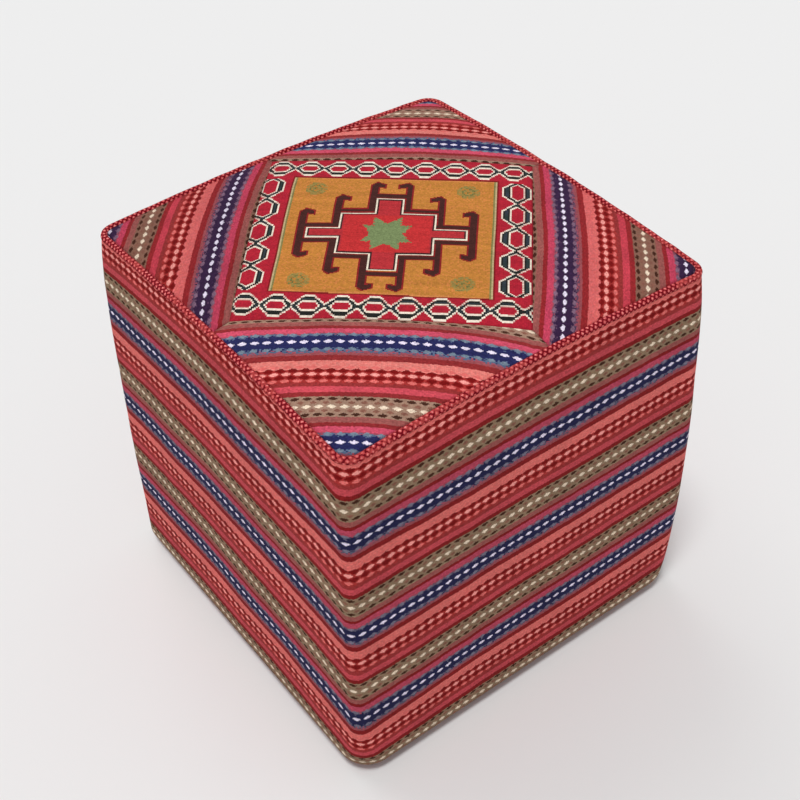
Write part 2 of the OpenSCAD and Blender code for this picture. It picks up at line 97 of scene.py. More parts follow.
class Shade:
    """An output in a finish's nodes. Sums and comparisons on it add Math nodes."""

    def __init__(self, tree, socket=None):
        self.tree = tree
        self.socket = socket

    def node(self, kind, settings=None, inputs=None, output=0):
        """Adds a node. Its settings come first, then its inputs' values or links."""
        made = self.tree.nodes.new("ShaderNode" + kind)
        for name, value in (settings or {}).items():
            if name == "stops":
                ramp = made.color_ramp
                ramp.interpolation = "CONSTANT"
                ramp.elements.remove(ramp.elements[1])
                ramp.elements[0].position = value[0][0]
                ramp.elements[0].color = value[0][1]
                for place, colour in value[1:]:
                    ramp.elements.new(place).color = colour
            else:
                setattr(made, name, value)
        for name, value in (inputs or {}).items():
            if isinstance(value, Shade):
                self.tree.links.new(value.socket, made.inputs[name])
            else:
                made.inputs[name].default_value = value
        return Shade(self.tree, made.outputs[output])

    __add__ = __radd__ = maths("ADD")
    __mul__ = __rmul__ = maths("MULTIPLY")
    __sub__ = maths("SUBTRACT")
    __truediv__ = maths("DIVIDE")
    __mod__ = maths("FLOORED_MODULO")
    __lt__ = maths("LESS_THAN")
    __gt__ = maths("GREATER_THAN")
    __and__ = maths("MINIMUM")
    __or__ = maths("MAXIMUM")
    __abs__ = maths("ABSOLUTE")
    floor = maths("FLOOR")
    sine = maths("SINE")

    def __rsub__(self, other):
        return self.node("Math", {"operation": "SUBTRACT"}, {0: other, 1: self})

    def blend(self, mask, under, over):
        """One colour where the mask is 0 and another where it is 1."""
        return self.node("Mix", {"data_type": "RGBA"}, {0: mask, 6: under, 7: over}, 2)

    def dyed(self, mask, colour):
        """This colour with another over it where the mask is 1."""
        return self.blend(mask, self, colour)

    def dimmed(self, share):
        """This colour times a number."""
        return self.node("VectorMath", {"operation": "SCALE"}, {0: self, "Scale": share})

    def spot(self):
        """Where on the object a point lies, in metres."""
        return self.node("TexCoord", output=3)

    def cloth_place(self):
        """Where on the flat cloth a point lies, in metres along and across it."""
        return self.node("UVMap", {"uv_map": "cloth"})

    def part(self, axis):
        """This place's part along axis 0, 1 or 2."""
        return self.node("SeparateXYZ", inputs={"Vector": self}, output=axis)

    def stretched(self, scales):
        """This place times a number for each axis."""
        return self.node("Mapping", inputs={"Vector": self, "Scale": scales})

    def blotches(self, scale, detail=2.0, at=None, **more):
        """Noise from 0 to 1 at so many blotches a metre."""
        inputs = {"Vector": at or self.spot(), "Scale": scale, "Detail": detail, **more}
        return self.node("TexNoise", inputs=inputs)

    def fleck(self, column, row):
        """A number from 0 to 1 for each column and row, for unevenly dyed yarn."""
        return self.node("TexWhiteNoise", {"noise_dimensions": "2D"}, {
            "Vector": self.node("CombineXYZ", inputs={0: column, 1: row})})

    def relief(self, height, depth, strength=1.0):
        """The normal of a surface that stands so many metres high."""
        return self.node("Bump", inputs={"Strength": strength, "Distance": depth,
                                         "Height": height})


def finish(name):
    """A new material: its nodes to draw with, its shader, and the material."""
    made = bpy.data.materials.new(name)
    made.use_nodes = True
    shader = next(n for n in made.node_tree.nodes if n.type == "BSDF_PRINCIPLED")
    return Shade(made.node_tree), shader, made


def feed(shader, **sockets):
    """Sets numbers on the shader's own sockets and links shades to them."""
    for name, value in sockets.items():
        socket = shader.inputs[name.replace("_", " ")]
        if isinstance(value, Shade):
            value.tree.links.new(value.socket, socket)
        else:
            socket.default_value = value


def dye(red, green, blue):
    """A colour from a paint chart's 0-255 steps, as linear light."""
    steps = [c / 255 for c in (red, green, blue)]
    return tuple(c / 12.92 if c <= 0.04045 else ((c + 0.055) / 1.055) ** 2.4
                 for c in steps) + (1.0,)


def mesh_piece(name, points, faces, material, cloth=None):
    """A piece from points in millimetres, with each point's place on the cloth."""
    mesh = bpy.data.meshes.new(name)
    mesh.from_pydata((np.asarray(points, float) / 1000).tolist(), [], faces)
    if cloth is not None:
        layer = mesh.uv_layers.new(name="cloth")
        used = np.zeros(len(mesh.loops), np.int32)
        mesh.loops.foreach_get("vertex_index", used)
        layer.data.foreach_set("uv", (np.asarray(cloth, np.float32)[used] / 1000).ravel())
    mesh.polygons.foreach_set("use_smooth", [True] * len(mesh.polygons))
    mesh.materials.append(material)
    piece = bpy.data.objects.new(name, mesh)
    scene.collection.objects.link(piece)
    return piece


world = bpy.data.worlds.new("overcast")
scene.world = world
world.use_nodes = True
sky = Shade(world.node_tree)
# The camera, gloss and glass see a backdrop of the floor's grey.
camera_ray, glossy_ray, transmitted_ray = (sky.node("LightPath", output=k) for k in (0, 3, 6))
shown = camera_ray | glossy_ray | transmitted_ray
glow = sky_light + shown * (floor_grey - sky_light)
sky_node = next(n for n in world.node_tree.nodes if n.type == "BACKGROUND")
sky_node.inputs["Color"].default_value = (1.0, 1.0, 1.0, 1.0)
world.node_tree.links.new(glow.socket, sky_node.inputs["Strength"])

for name, (energy, breadth, turn) in (("overhead_lamp", overhead_lamp),
                                      ("left_lamp", left_lamp)):
    lamp = bpy.data.lights.new(name, "SUN")
    lamp.energy = energy
    lamp.angle = breadth
    stand = bpy.data.objects.new(name, lamp)
    stand.rotation_euler = turn
    scene.collection.objects.link(stand)

paint, shader, floor_finish = finish("seamless_floor")
feed(shader, Base_Color=(floor_grey, floor_grey, floor_grey, 1.0), Roughness=0.9,
     Specular_IOR_Level=0.0)
far = floor_side / 2
floor = mesh_piece("floor", [(-far, -far, -floor_gap), (far, -far, -floor_gap),
                             (far, far, -floor_gap), (-far, far, -floor_gap)],
                   [(0, 1, 2, 3)], floor_finish)

# Pine posts and rails
#
# The stool's skeleton is planed pine: four square posts with two rings of
# rails screwed between them. The grain runs along each piece.
pine_pale = dye(222, 190, 142)
pine_ring = dye(182, 136, 86)
grain_across = 42.0
grain_along = 2.2


def pine(name, along):
    """Planed pine with its grain along axis 0, 1 or 2."""
    paint, shader, made = finish(name)
    scales = [grain_across] * 3
    scales[along] = grain_along
    lengths = paint.spot().stretched(scales)
    growth = paint.blotches(1.6, 3.0, lengths, Distortion=0.4)
    fibre = paint.blotches(22.0, 2.0, lengths)
    rings = (growth * 26).sine() * 0.5 + 0.5
    tone = paint.blend(rings * 0.55, pine_pale, pine_ring)
    feed(shader, Base_Color=tone.dimmed(fibre * 0.3 + 0.85), Roughness=0.62,
         Normal=paint.relief(fibre + rings * 0.4, 0.0004, 0.25))
    return made


def wear(node, material):
    """Gives a CAD node its finish."""
    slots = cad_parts[node].data.materials
    slots.clear()
    slots.append(material)


pine_upright = pine("pine_upright", 2)
pine_lengthwise = pine("pine_lengthwise", 1)
pine_crosswise = pine("pine_crosswise", 0)
corners = ("back_right", "back_left", "front_left", "front_right")
for corner in corners:
    wear("post_" + corner, pine_upright)
for rail in ("top_rail_", "bottom_rail_"):
    wear(rail + "right", pine_lengthwise)
    wear(rail + "left", pine_lengthwise)
    wear(rail + "back", pine_crosswise)
    wear(rail + "front", pine_crosswise)

# Screws
#
# Countersunk wood screws, plated with yellow zinc, hold the rails to the
# posts and the seat board to the top rails.
paint, shader, yellow_zinc = finish("yellow_zinc")
plating = paint.blotches(900.0, 3.0)
feed(shader, Base_Color=paint.blend(plating * 0.5, dye(214, 180, 96), dye(170, 190, 150)),
     Metallic=1.0, Roughness=plating * 0.25 + 0.25)
wear("frame_screws", yellow_zinc)
wear("seat_screws", yellow_zinc)

# Seat board
#
# Sanded birch plywood lies over the posts and top rails. Its faces show the
# veneer's figure and its edges show the plies.
ply_mm = 1.5
veneer_scales = (3.0, 26.0, 26.0)
paint, shader, plywood = finish("plywood")
figure = paint.blotches(2.0, 4.0, paint.spot().stretched(veneer_scales), Distortion=0.6)
height = paint.spot().part(2)
upward = paint.node("NewGeometry", output=1).part(2)
dark_ply = ((height * (1000 / ply_mm)) % 2 > 1) & (abs(upward) < 0.5)
veneer = paint.blend(figure, dye(226, 196, 150), dye(196, 156, 104))
feed(shader, Base_Color=veneer.dyed(dark_ply, dye(150, 104, 66)), Roughness=0.55,
     Normal=paint.relief(figure, 0.0003, 0.2))
wear("seat_board", plywood)

# Side boards
#
# Thin hardboard, brown and fibrous, is pinned over the posts and rails and
# closes the four sides.
paint, shader, hardboard = finish("hardboard")
fibres = paint.blotches(260.0, 5.0)
brown = paint.blend(fibres, dye(128, 88, 56), dye(92, 60, 38))
feed(shader, Base_Color=brown.dimmed(paint.blotches(9.0, 3.0) * 0.3 + 0.85), Roughness=0.5,
     Normal=paint.relief(fibres, 0.0002, 0.15))
for side in ("right", "back", "left", "front"):
    wear("side_board_" + side, hardboard)

# Pins and staples
#
# Bright wire makes both: flat-headed pins through the side boards, and
# staples through the dust cover into the bottom rails.
paint, shader, bright_wire = finish("bright_wire")
drawn = paint.blotches(1500.0)
feed(shader, Base_Color=paint.blend(drawn * 0.4, dye(206, 208, 212), dye(168, 170, 176)),
     Metallic=1.0, Roughness=drawn * 0.2 + 0.28)
wear("board_pins", bright_wire)
wear("dust_cover_staples", bright_wire)

# Seat foam
#
# A block of open-celled foam stands on the seat board, its upper edge cut
# back and its top crowned. It is glued to the board by its underside.
half_width = 203.0
corner_radius = 26.0
least_radius = 1.5
side_steps = 36
corner_steps = 10
seam_height = 396.0
seam_inset = 12.0
seam_tilt = math.radians(30)
pipe_radius = 3.3
edge_lift = 6.5
crown = 12.0
cloth = 2.0
clearance = 0.3
wadding = 8.0
seat_height = 346.0
glue_film = 0.15
foam_side = 183.728
foam_foot_in = 6.0
foam_foot_up = 0.05
pipe_at = half_width - seam_inset


def seam_point(down, across):
    """Section of the piped seam: how far out and how high."""
    return (pipe_at - down * math.sin(seam_tilt) - across * math.cos(seam_tilt),
            seam_height - down * math.cos(seam_tilt) + across * math.sin(seam_tilt))


top_edge, top_edge_z = seam_point(0, pipe_radius)


def lift(x, y):
    """The seam stands higher along the sides than at the corners."""
    return edge_lift * (1 - (x * y / pipe_at ** 2) ** 2)


def bulge(c):
    """The crown's share at a place along one side, 1 in the middle."""
    return 1 - np.minimum(1, np.abs(c) / top_edge) ** 3


def top_height(x, y):
    """Height of the crowned top."""
    return top_edge_z + lift(x, y) + crown * bulge(x) * bulge(y)


def quarter_turned(flat, q):
    """A point or points of the plan, turned by q right angles."""
    c, s = round(math.cos(q * math.pi / 2)), round(math.sin(q * math.pi / 2))
    return flat @ np.array([[c, s], [-s, c]])


def ring(width, radius=None, straights=side_steps, rounds=corner_steps):
    """Rounded square from the middle of the right side, anticlockwise."""
    r = max(least_radius, corner_radius - (half_width - width)) if radius is None else radius
    turn = np.radians(90 * np.arange(1, rounds + 1) / rounds)
    straight = (width - r) * np.arange(straights + 1) / straights
    quarter = np.concatenate([
        np.stack([np.full(straights + 1, width), straight], 1),
        np.stack([width - r + r * np.cos(turn), width - r + r * np.sin(turn)], 1),
        np.stack([straight[-2:0:-1], np.full(straights - 1, width)], 1)])
    return np.concatenate([quarter_turned(quarter, q) for q in range(4)])


def raised(flat, z, share=0.0):
    """A ring in space, which takes a share of the seam's rise."""
    x, y = flat[:, 0], flat[:, 1]
    return np.stack([x, y, z + share * lift(x, y)], 1)


def crowned(flat, drop):
    """A ring that follows the top, so far below it."""
    return np.stack([flat[:, 0], flat[:, 1], top_height(flat[:, 0], flat[:, 1]) - drop], 1)


def crown_rings(drop):
    """Rings from the top's rim to near its middle, so far below it."""
    return [crowned(ring(top_edge * share), drop)
            for share in (0.86, 0.78, 0.68, 0.57, 0.45, 0.33, 0.22, 0.11, 0.04)]


def grid_faces(rows, columns, closed=False):
    """Four-sided faces of a net of points."""
    i, j = np.meshgrid(np.arange(rows - 1), np.arange(columns if closed else columns - 1),
                       indexing="ij")
    k = (j + 1) % columns
    net = np.stack([i * columns + j, i * columns + k,
                    (i + 1) * columns + k, (i + 1) * columns + j], -1)
    return net.reshape(-1, 4).tolist()


def stack(name, rings, ends, material):
    """Rings one above another, closed by a point at each end where one is given."""
    n = len(rings[0])
    points = np.concatenate(rings)
    faces = grid_faces(len(rings), n, True)
    if ends:
        base = (len(rings) - 1) * n
        tip = len(points)
        faces += [((j + 1) % n, j, tip) for j in range(n)]
        faces += [(base + j, base + (j + 1) % n, tip + 1) for j in range(n)]
        points = np.concatenate([points, np.array(ends)])
    return mesh_piece(name, points, faces, material)


foam_shoulder = [(foam_side - cut, seam_height - below)
                 for cut, below in ((0, 20), (2, 18.5), (4, 17.5), (8.5, 14.5), (14, 11))]
foam_side_top = foam_shoulder[0][1]
foam_foot = seat_height + glue_film
foam_drop = cloth + 3 * clearance + wadding

paint, shader, open_foam = finish("open_foam")
cells = paint.blotches(700.0)
feed(shader, Base_Color=paint.blend(cells, dye(242, 228, 172), dye(214, 196, 132)),
     Roughness=0.95, Normal=paint.relief(cells, 0.0008, 0.8))
foam_rings = [raised(ring(foam_side - foam_foot_in), foam_foot)]
for z in np.linspace(0, 1, 6) * (foam_side_top - seat_height):
    foam_rings.append(raised(ring(foam_side), foam_foot + foam_foot_up + z))
for w, z in foam_shoulder[1:]:
    foam_rings.append(raised(ring(w), z, 1.0))
foam_rings += crown_rings(foam_drop)
foam = stack("foam_block", foam_rings, ((0, 0, foam_foot),
                                        (0, 0, top_height(0, 0) - foam_drop)), open_foam)
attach(foam, "root")
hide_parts("seat_foam")

# Waddings
#
# Polyester fleece, 8 mm thick, is laid over the foam and stapled round the
# sides, so that the cover lies soft over the edges of the wood.
foot_width = 202.5
base_radius = 12.0
foot_z = 17.1
belly_height = 100.0
lean_in = 4.0
board_face = 189.728
board_corner = 0.5
board_gap = 0.4
foam_gap = 0.5
seam_allowance = 10.0
lip = 3.65
shoulder, shoulder_z = seam_point(0, -pipe_radius)
shoulder_in = half_width - shoulder - lean_in

# The upright edges' roundings. The front right one is tight and opens towards
# the seam and the foot. The back right one is drawn tighter at half height.
front_edge = 12.0
front_opens = 14.0
front_foot = 18.0
back_foot = 8.0
back_drawn = 8.0
opens_from = 315.0
opens_over = 76.0
drawn_at = 160.0
drawn_over = 110.0
foot_over = 22.0


def hump(at, middle, reach):
    """A smooth swell, 1 at its middle and almost gone two reaches away."""
    return np.exp(-((at - middle) / reach) ** 2)


def side_width(z):
    """How far out the side stands at a height."""
    t = np.clip((z - belly_height) / (shoulder_z - belly_height), 0, 1)
    full = half_width - lean_in * t ** 2 - shoulder_in * t ** 8
    below = half_width + (foot_width - half_width) * (belly_height - z) / (belly_height - foot_z)
    return float(np.where(z < belly_height, below, full))


def side_rise(z):
    """Share of the seam's rise that the side takes at a height."""
    return float(np.clip((z - belly_height) / (shoulder_z - belly_height), 0, 1)) ** 3


def side_ring(width, z):
    """A level of the side, with each upright edge's own rounding."""
    foot = math.exp(-max(z - foot_z, 0) / foot_over)
    middle = hump(z, drawn_at, drawn_over)
    high = float(np.clip((z - opens_from) / opens_over, 0, 1)) ** 1.3
    radii = (corner_radius - back_drawn * middle + back_foot * foot, corner_radius,
             corner_radius, front_edge + front_opens * high + front_foot * foot)
    whole = [ring(width, max(least_radius, r - half_width + width)) for r in radii]
    n = len(whole[0]) // 4
    return np.concatenate([whole[q][q * n:q * n + n] for q in range(4)])


paint, shader, fleece = finish("fleece")
tufts = paint.blotches(60.0, 6.0)
feed(shader, Base_Color=paint.blend(tufts, dye(248, 248, 246), dye(220, 221, 222)),
     Roughness=1.0, Normal=paint.relief(tufts, 0.003, 0.7))

# The seat's fleece comes up the side, passes under the seam's allowances and
# lies over the foam.
side_levels = np.linspace(seat_height + board_gap, foam_side_top, 6)
outer = [raised(ring(side_width(z) - cloth - 3 * clearance), z) for z in side_levels]
for down, across in ((seam_allowance + 3, -lip - 3), (seam_allowance + 1.2, 0),
                     (seam_allowance + 0.8, lip + 0.8), (3.5, lip + 2.2)):
    w, z = seam_point(down, across)
    outer.append(raised(ring(w), z, 1.0))
outer += crown_rings(cloth + 5 * clearance)
inner = [raised(ring(foam_side + foam_gap), z) for z in side_levels]
inner += [raised(ring(w + foam_gap), z + foam_gap, 1.0) for w, z in foam_shoulder[1:]]
inner += crown_rings(foam_drop - clearance)
seat_fleece = stack("seat_fleece", inner[::-1] + outer, (
    (0, 0, top_height(0, 0) - foam_drop + clearance),
    (0, 0, top_height(0, 0) - cloth - 5 * clearance)), fleece)
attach(seat_fleece, "root")
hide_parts("seat_wadding")

# The sides' fleece is turned a little under the base.
fold_slack = 0.2
hollow = base_radius - cloth - clearance - fold_slack
outer = [raised(side_ring(foot_width - base_radius + hollow * math.sin(a), foot_z),
                foot_z - hollow * math.cos(a)) for a in np.radians([30, 45, 60, 75, 90])]
outer += [raised(side_ring(side_width(z) - cloth - 2 * clearance, z), z)
          for z in np.linspace(30, seat_height - board_gap, 24)]
inner = [raised(ring(board_face + board_gap, board_corner), r[0][2]) for r in outer]
whole = outer + inner[::-1]
side_fleece = stack("side_fleece", whole + whole[:1], None, fleece)
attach(side_fleece, "root")
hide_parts("side_wadding")

# Cord in the piping
#
# A soft cotton cord of three strands, 3.8 mm thick, is twisted to the left
# and laid in the folded strip of the piping.
strands = 3
strand_radius = 0.88
strand_out = 1.0
strand_sides = 6
twist_mm = 13.0
cord_step = 1.6


def smooth_loop(width, radius, step):
    """Closed rounded square, its points evenly spaced, and its length."""
    coarse = ring(width, radius, 60, 24)
    legs = np.linalg.norm(np.roll(coarse, -1, 0) - coarse, axis=1)
    run = np.concatenate([[0], np.cumsum(legs)])
    count = int(round(run[-1] / step))
    at = np.arange(count) * run[-1] / count
    closed = np.concatenate([coarse, coarse[:1]])
    return np.stack([np.interp(at, run, closed[:, k]) for k in (0, 1)], 1), run[-1]


def unit(vectors):
    """Each vector at length 1."""
    return vectors / np.linalg.norm(vectors, axis=1)[:, None]


def round_about(turns):
    """Places at so many turns round the cord's middle, outwards first."""
    return np.cos(turns)[..., None] * outward + np.sin(turns)[..., None] * upward


paint, shader, cotton = finish("cotton")
lint = paint.blotches(1100.0)
feed(shader, Base_Color=paint.blend(lint, dye(238, 232, 216), dye(206, 198, 178)),
     Roughness=0.95, Normal=paint.relief(lint, 0.0004, 0.6))
path, cord_length = smooth_loop(pipe_at, corner_radius - seam_inset, cord_step)
middle = raised(path, seam_height, 1.0)
ahead = unit(np.roll(middle, -1, 0) - np.roll(middle, 1, 0))
outward = unit(np.cross(ahead, [0.0, 0.0, 1.0]))
upward = np.cross(outward, ahead)
turn = 2 * np.pi * round(cord_length / twist_mm) * np.arange(len(middle)) / len(middle)
around = 2 * np.pi * np.arange(strand_sides) / strand_sides
points = []
faces = []
for k in range(strands):
    core = middle + strand_out * round_about(turn + 2 * np.pi * k / strands)
    skin = strand_radius * round_about(around[:, None])
    points.append((core + skin).transpose(1, 0, 2).reshape(-1, 3))
    net = grid_faces(len(middle), strand_sides, True)
    last = (len(middle) - 1) * strand_sides
    net += [[last + j, last + (j + 1) % strand_sides, (j + 1) % strand_sides, j]
            for j in range(strand_sides)]
    faces += [[c + k * len(middle) * strand_sides for c in f[::-1]] for f in net]
cord = mesh_piece("twisted_cord", np.concatenate(points), faces, cotton)
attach(cord, "root")
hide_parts("piping_cord")

# Strip of piping
#
# A strip of the striped cloth, 40 mm wide, is folded round the cord and
# stitched close to it. Only its narrow dotted stripes show.
strip = 1.1
strip_gap = 0.1
strip_step = 2.2
ends_meet = 0.375
wrap_turns = np.radians(np.linspace(-150, 150, 13))
dot_row = 2.7
dot_mm = 5.0


def soft_sway(points, size, reach):
    """Slow unevenness of work by hand, as a push for each point."""
    return size * np.array([
        [noise.noise(Vector((p[0] / reach, p[1] / reach, p[2] / reach + 7 * k)))
         for k in range(3)] for p in points])


def hand_pull(points):
    """Small unevenness of a seam sewn and pulled tight by hand."""
    return soft_sway(points, 0.45, 31.0) + soft_sway(points, 0.25, 12.0)


def thicken(piece, thickness, side):
    """Gives a sheet its thickness: outwards at 1, inwards at -1, both ways at 0."""
    made = piece.modifiers.new("thickness", "SOLIDIFY")
    made.thickness = thickness / 1000
    made.offset = side


paint, shader, piping_weave = finish("piping_weave")
place = paint.cloth_place()
along = place.part(0) * 1000
around = place.part(1) * 1000
loose = paint.blotches(60.0) - 0.5
row_at = around / dot_row + 0.5 * loose
dot_at = (along + row_at.floor() * (dot_mm / 2) + 3.0 * loose) / dot_mm
knot = 1.5 - abs(dot_at % 1 - 0.5) * 2 - abs(row_at % 1 - 0.5)
tuft = paint.blotches(650.0)
wool = paint.blend(knot < 0.8, dye(206, 78, 82), dye(116, 10, 24))
# Painted highlight: pale pink flecks on the crowns of the beads, where the knot pattern peaks.
wool = wool.dyed((knot + tuft > 1.72) * 0.75, dye(250, 166, 156))
faded = (paint.blotches(11.0) > 0.5) * (paint.blotches(300.0) > 0.5) * 0.5
wool = wool.dyed(faded, dye(206, 84, 80))
feed(shader, Base_Color=wool.dimmed(tuft * 0.8 + 0.6), Roughness=0.94, Specular_IOR_Level=0.1,
     Normal=paint.relief(tuft * 0.6 + knot, 0.0006, 0.5))

beside_seam = strip / 2 + strip_gap
wrap_radius = pipe_radius - strip / 2
wrap = [seam_point(seam_allowance, beside_seam), seam_point(pipe_radius, beside_seam)]
wrap += [seam_point(-wrap_radius * math.cos(a), -wrap_radius * math.sin(a))
         for a in wrap_turns[::-1]]
wrap += [seam_point(pipe_radius, -beside_seam), seam_point(seam_allowance, -beside_seam)]
inset = np.array([w - pipe_at for w, z in wrap])
heights = np.array([z for w, z in wrap])
path, piping_length = smooth_loop(pipe_at, corner_radius - seam_inset, strip_step)
ahead = unit(np.roll(path, -1, 0) - np.roll(path, 1, 0))
start = int(len(path) * ends_meet)
order = [(start + k) % len(path) for k in range(len(path) + 1)]
line = path[order]
off = np.stack([ahead[:, 1], -ahead[:, 0]], 1)[order]
pull = hand_pull(raised(line, seam_height, 1.0))
pull[-1] = pull[0]
points = np.concatenate([
    line + inset[:, None, None] * off,
    (heights[:, None] + lift(line[:, 0], line[:, 1]))[..., None]], 2) + pull
run = np.arange(len(line)) * piping_length / len(path)
over = np.cumsum([0] + [math.dist(wrap[k], wrap[k + 1]) for k in range(len(wrap) - 1)])
flat = np.stack(np.broadcast_arrays(run[None, :], over[:, None]), 2)
piping = mesh_piece("piping_strip", points.reshape(-1, 3), grid_faces(len(wrap), len(line)),
                    piping_weave, flat.reshape(-1, 2))
thicken(piping, strip, 0)
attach(piping, "root")
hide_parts("piping_cover")

# Striped wool
#
# The cover is old flat-woven wool in narrow bands: navy, dark red, pink,
# salmon and olive. One repeat is 108.6 mm. Rows of small rhombs run along the
# navy, salmon and olive bands, 10 mm apart.
repeat = 108.6
rhomb = 10.05
thread_mm = 1.6
pick_mm = 0.8
navy_at = -0.6
salmon_at = 35.3
olive_at = 72.0
between_at = 4.3
beyond_at = 8.2


def striped(name, navy, dusk, haze, maroon, salmon, olive, rose, pink, share):
    """Striped wool from one dyeing of its yarns. Each stripe starts at its mm."""
    stripes = (
        (0.0, navy), (4.8, dusk), (11.2, dye(152, 76, 82)), (13.8, maroon), (19.4, salmon),
        (29.4, dye(164, 50, 48)), (45.8, dye(150, 50, 50)), (50.0, rose), (56.2, maroon),
        (61.2, olive), (82.6, dye(152, 84, 80)), (88.2, maroon), (91.8, pink), (98.0, dusk),
        (104.2, navy))
    paint, shader, made = finish(name)
    place = paint.cloth_place()
    along = place.part(0) * 1000
    across = place.part(1) * 1000
    wander = paint.blotches(9.0, 2.0, place) - 0.5
    across = across + wander * 4.0
    thread = (along / thread_mm).floor()
    tooth = paint.node("TexWhiteNoise", {"noise_dimensions": "1D"}, {"W": thread})
    pick = ((across + tooth * 0.7) / pick_mm).floor() * pick_mm
    at = pick % repeat
    column = along + wander * 8
    beside = abs(column % rhomb - rhomb / 2) * (2 / rhomb)
    fleck = paint.fleck(thread, pick)
    tone = paint.node("ValToRGB", {"stops": [
        (mm / repeat, colour) for mm, colour in stripes]}, {0: at / repeat})

    def from_line(where):
        """Millimetres from a line of the repeat, to either side."""
        return abs((at - where + repeat / 2) % repeat - repeat / 2)

    def rhombs(where, core, between, outer, size, mid_size, out_size):
        """Rhombs on a band's middle, others between them, and more beyond."""
        away = from_line(where)
        drawn = tone
        for column_at, row_at, reach, yarn in (
                (1 - beside, abs(away - between_at), mid_size, between),
                (beside, abs(away - beyond_at), out_size, outer), (beside, away, size, core)):
            length = column_at * (rhomb / 2 / reach[0])
            gap = length * (length + 0.6) / 1.6 + row_at / reach[1]
            drawn = drawn.dyed((gap + fleck * 0.2 < 1.1) * 0.95, yarn)
        return drawn

    off_navy = from_line(0.4)
    tone = tone.dyed((off_navy > 4.0) * (off_navy + fleck * 4.5 < 9.6), navy)
    tone = tone.dyed((off_navy < 11.2) * (off_navy + fleck * 4 > 12.0), dye(152, 74, 88))
    tone = rhombs(navy_at, dye(236, 226, 246), navy, haze, (4.0, 1.9), (4.4, 3.0), (3.4, 1.9))
    tone = rhombs(salmon_at, dye(250, 160, 152), dye(118, 10, 12), dye(226, 112, 108),
                  (4.2, 2.2), (4.6, 2.7), (4.0, 2.0))
    tone = tone.dyed((fleck > 0.55) * (at > 61.0) * (at < 82.6) * 0.4, dye(108, 80, 58))
    tone = rhombs(olive_at, dye(238, 218, 194), dye(134, 88, 74), dye(58, 26, 14),
                  (3.8, 2.0), (3.0, 1.6), (4.0, 1.8))
    stipple = (fleck > 0.7) * (at > 19.5) * (at < 28.5) * 0.45
    tone = tone.dyed(stipple, dye(182, 70, 64))
    worn = paint.blotches(26.0, 3.0, place)
    yarn = paint.blotches(420.0, 2.0, place)
    shade = (worn * 0.4 + 0.8) * (fleck * 0.4 + 0.8) * (yarn * 0.6 + 0.71) * share
    rib = abs((along / thread_mm) % 1 - 0.5) + yarn * 0.8
    feed(shader, Base_Color=tone.dimmed(shade), Roughness=0.94,
         Specular_IOR_Level=0.12, Normal=paint.relief(rib, 0.0005, 0.6))
    return made


purple_yarns = (dye(54, 32, 64), dye(98, 70, 94), dye(130, 100, 122), dye(146, 38, 42),
                dye(220, 106, 106), dye(142, 100, 86), dye(196, 64, 78), dye(194, 66, 92))
blue_yarns = (dye(38, 40, 86), dye(88, 104, 132), dye(116, 132, 148), dye(142, 44, 46),
              dye(228, 130, 122), dye(168, 134, 116), dye(204, 76, 88), dye(204, 78, 102))
side_yarns = (dye(34, 34, 70), dye(92, 88, 108), dye(118, 114, 132), dye(130, 28, 30),
              dye(226, 116, 110), dye(148, 124, 100), dye(192, 72, 80), dye(182, 70, 92))
band_weave = striped("side_stripes", *side_yarns, 1.03)
weaves = {"back_right": striped("purple_stripes", *purple_yarns, 1.0),
          "back_left": striped("blue_stripes", *blue_yarns, 1.0),
          "front_left": striped("dark_purple_stripes", *purple_yarns, 0.88),
          "front_right": striped("bright_blue_stripes", *blue_yarns, 1.06)}

# Side band
#
# One length of the striped wool goes round the body with a single seam at
# the hidden back corner. Its upper edge is sewn in under the piping and its
# lower edge is turned under the base and stapled.
lip_off = 0.9
hem_in = 170.5
hem_z = 5.1
first_stripe = 31.2
to_front_edge = 789.7

# How the stripes stray from level: up most at about 155 mm below the seam,
# down towards the seam and the foot, and up in the middle of the front face.
highest_by = 1.5
highest_at = 155.0
ends_low = 4.0
ends_over = 140.0
seam_low = 2.8
seam_low_over = 10.0
front_rise = 4.5
front_half = 190.0

# How they are drawn along the front edge: up (or below 0, down) by so much,
# so far below the seam, over such a height, and this far to each side.
edge_draws = ((4.5, 86.0, 32.0), (-5.0, 325.0, 36.0))
edge_over = 60.0


def flank_pull(points):
    """Swelling of the padding, little near the seam and none at the foot."""
    z = points[:, 2]
    free = np.clip((z - 8) / 60, 0, 1) * np.clip((seam_height + 4 - z) / 40, 0.25, 1)
    pulled = soft_sway(points, 0.9, 95.0) + soft_sway(points, 0.35, 26.0)
    return pulled * free[:, None]


# The band's levels from its upper edge down, each by half width, height and
# share of the seam's rise. The first three are hidden behind the piping.
levels = [(*seam_point(seam_allowance, -lip_off), 1.0),
          (*seam_point(pipe_radius + 1, -lip_off), 1.0),
          (*seam_point(2.4, -pipe_radius * 0.94), 1.0), (shoulder, shoulder_z, 1.0)]
hidden_rows = len(levels) - 1
for z in np.concatenate([np.linspace(shoulder_z - 0.8, shoulder_z - 8, 6),
                         np.linspace(shoulder_z - 12, 22, 74)]):
    levels.append((side_width(z), z, side_rise(z)))
for a in np.radians([90, 75, 60, 45, 30, 15, 0]):
    levels.append((foot_width - base_radius + base_radius * math.sin(a),
                   foot_z - base_radius * math.cos(a), 0.0))
levels += [(w, hem_z, 0.0) for w in (185.0, 178.0, hem_in)]

# Its ends meet in the middle of the back left corner's rounding.
around_body = ring(half_width)
back_left = len(around_body) // 4 + side_steps + corner_steps // 2
order = [(back_left + k) % len(around_body) for k in range(len(around_body) + 1)]
plans = [side_ring(w, z)[order] for w, z, rise in levels]
points = np.concatenate([raised(plan, z, rise) for plan, (w, z, rise) in zip(plans, levels)])
points += flank_pull(points)

